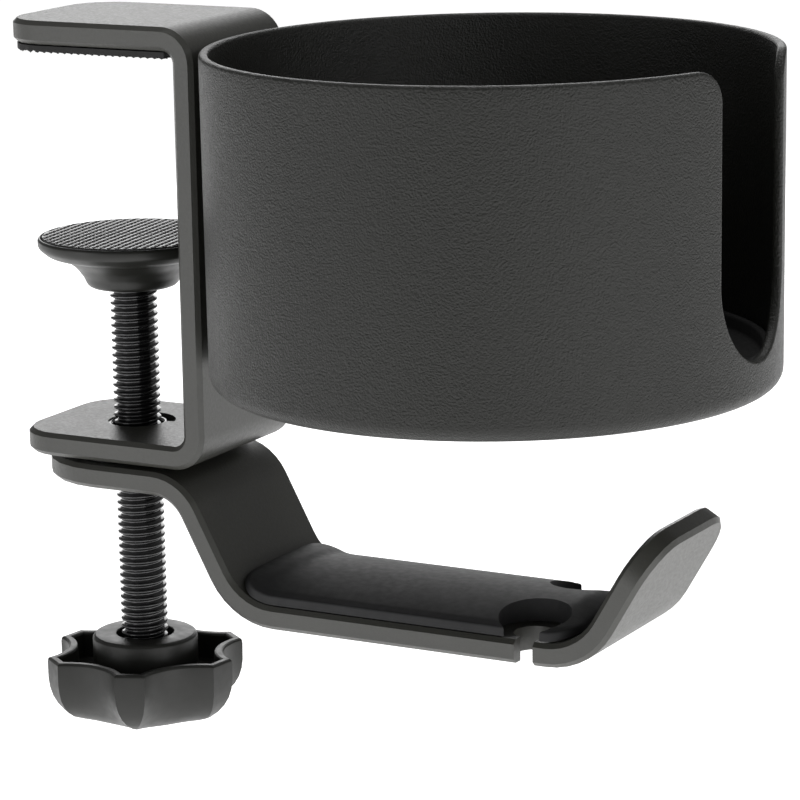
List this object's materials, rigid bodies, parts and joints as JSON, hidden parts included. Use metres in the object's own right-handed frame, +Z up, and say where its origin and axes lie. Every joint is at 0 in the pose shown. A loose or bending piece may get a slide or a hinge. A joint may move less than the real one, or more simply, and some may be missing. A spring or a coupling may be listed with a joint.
{
  "type": "headphone hook",
  "caption": "Desk-edge clamp with a swinging headphone hook below, a screw with swivel pad and star knob, and a cup holder at the side.",
  "frame": {"origin": "the point of the desk-top seat face, under the upper jaw, that lies on the clamp screw's axis", "axes": "+X from the clamp screw towards the cup and the hook's tip, +Y across the strip, +Z up along the clamp screw"},
  "size_m": [0.1283, 0.09, 0.1182],
  "materials": {
    "anodised_frame": "fine bead-blasted, black anodised",
    "anodised_hook": "fine bead-blasted, black anodised",
    "seat_rubber": "matt black, fine diamond pattern",
    "hook_rubber": "matt black, smooth",
    "grip_rubber": "black, diamond pattern",
    "mat_rubber": "matt black, rough",
    "cup_plastic": "satin black with a leather grain",
    "knob_plastic": "satin black",
    "hub_plastic": "satin black",
    "screw_steel": "glossy black oxide",
    "black_steel": "black oxide",
    "zinc_steel": "zinc plated",
    "nylon": "natural nylon"
  },
  "bodies": {
    "frame": {"clamp_frame": "anodised_frame", "upper_jaw_pad": "seat_rubber", "cup_shell": "cup_plastic", "cup_mat": "mat_rubber", "cup_screw_upper": "black_steel", "cup_screw_lower": "black_steel", "cup_washer_upper": "zinc_steel", "cup_washer_lower": "zinc_steel", "pivot_bushing": "black_steel"},
    "hook": {"hook_plate": "anodised_hook", "hook_pad": "hook_rubber", "stop_washer": "black_steel", "friction_washer": "nylon"},
    "pad_carriage": {"swivel_hub": "hub_plastic", "swivel_grip": "grip_rubber"},
    "screw": {"clamp_screw": "screw_steel", "knob_body": "knob_plastic", "knob_cap": "knob_plastic", "swivel_washer": "zinc_steel", "swivel_retaining_screw": "zinc_steel"}
  },
  "joints": [
    {"name": "hook_swing", "type": "hinge", "parent": "frame", "child": "hook", "pos_m": [0, 0, -0.0688], "axis": [0, 0, 1], "range_deg": [-65, 65]},
    {"name": "clamp_travel", "type": "slide", "parent": "frame", "child": "pad_carriage", "axis": [0, 0, 1], "range_m": [-0.0224, 0.0256]},
    {"name": "screw_spin", "type": "hinge", "parent": "pad_carriage", "child": "screw", "pos_m": [0, 0, -0.0688], "axis": [0, 0, 1], "range_deg": [-6460, 7380]}
  ],
  "couplings": [
    {"joint": "screw_spin", "follows": "clamp_travel", "rad_per_m": 5026.5}
  ]
}
